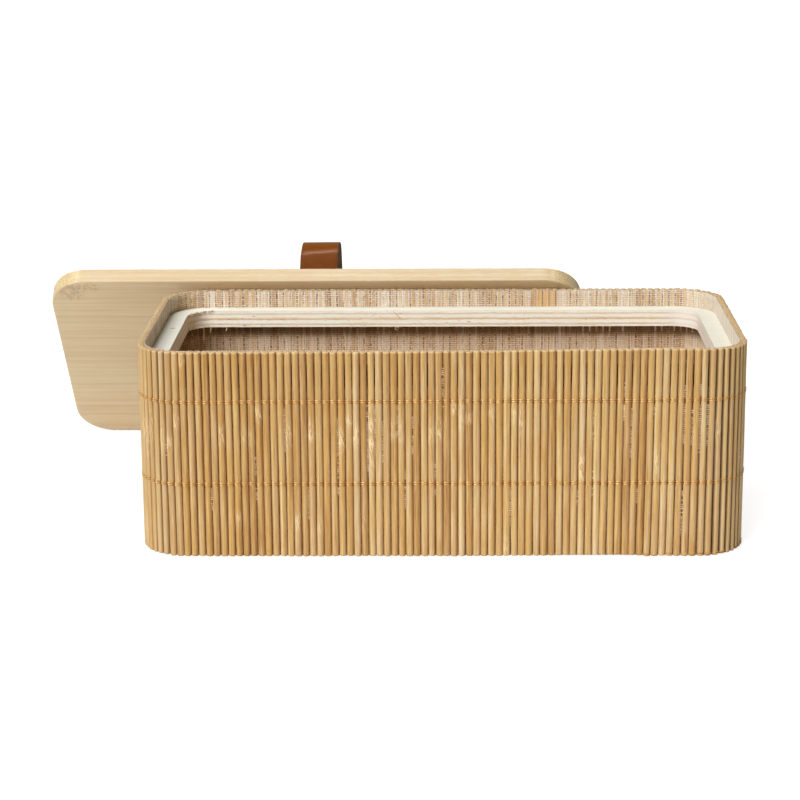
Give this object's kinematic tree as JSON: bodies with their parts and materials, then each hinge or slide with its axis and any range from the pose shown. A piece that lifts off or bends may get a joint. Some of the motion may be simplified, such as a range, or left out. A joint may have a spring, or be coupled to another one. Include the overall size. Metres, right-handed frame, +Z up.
{
  "type": "tea bag organizer box",
  "caption": "Rounded rectangular box with a wall of stitched bamboo sticks, a plywood ledge inside the rim, and a flat lid with a leather loop, leaning open behind it.",
  "frame": {"origin": "middle of the box's base, on the table", "axes": "+X along the box to the right, +Y to the back, +Z up; the lid is taken off and leans on the back rim"},
  "size_m": [0.3174, 0.2241, 0.099],
  "materials": {
    "bamboo_sticks": "raw split bamboo, satin",
    "stitch_thread": "orange-tan twisted thread",
    "lining": "loose weave backing cloth",
    "plywood": "pale bare plywood",
    "base_wood": "bare plywood panel",
    "bamboo_board": "clear satin lacquer on glued bamboo",
    "leather": "smooth brown leather",
    "brass": "satin"
  },
  "bodies": {
    "box": {"front_sticks": "bamboo_sticks", "front_right_sticks": "bamboo_sticks", "right_sticks": "bamboo_sticks", "back_right_sticks": "bamboo_sticks", "back_sticks": "bamboo_sticks", "back_left_sticks": "bamboo_sticks", "left_sticks": "bamboo_sticks", "front_left_sticks": "bamboo_sticks", "upper_stitching": "stitch_thread", "lower_stitching": "stitch_thread", "lining_cloth": "lining", "ledge_ring": "plywood", "base_panel": "base_wood"},
    "lid": {"lid_board": "bamboo_board", "leather_strap": "leather", "strap_screws": "brass"}
  },
  "joints": [
    {"name": "lid_lift", "type": "slide", "parent": "box", "child": "lid", "axis": [0, 0, 1], "range_m": [0, 0.12]}
  ]
}
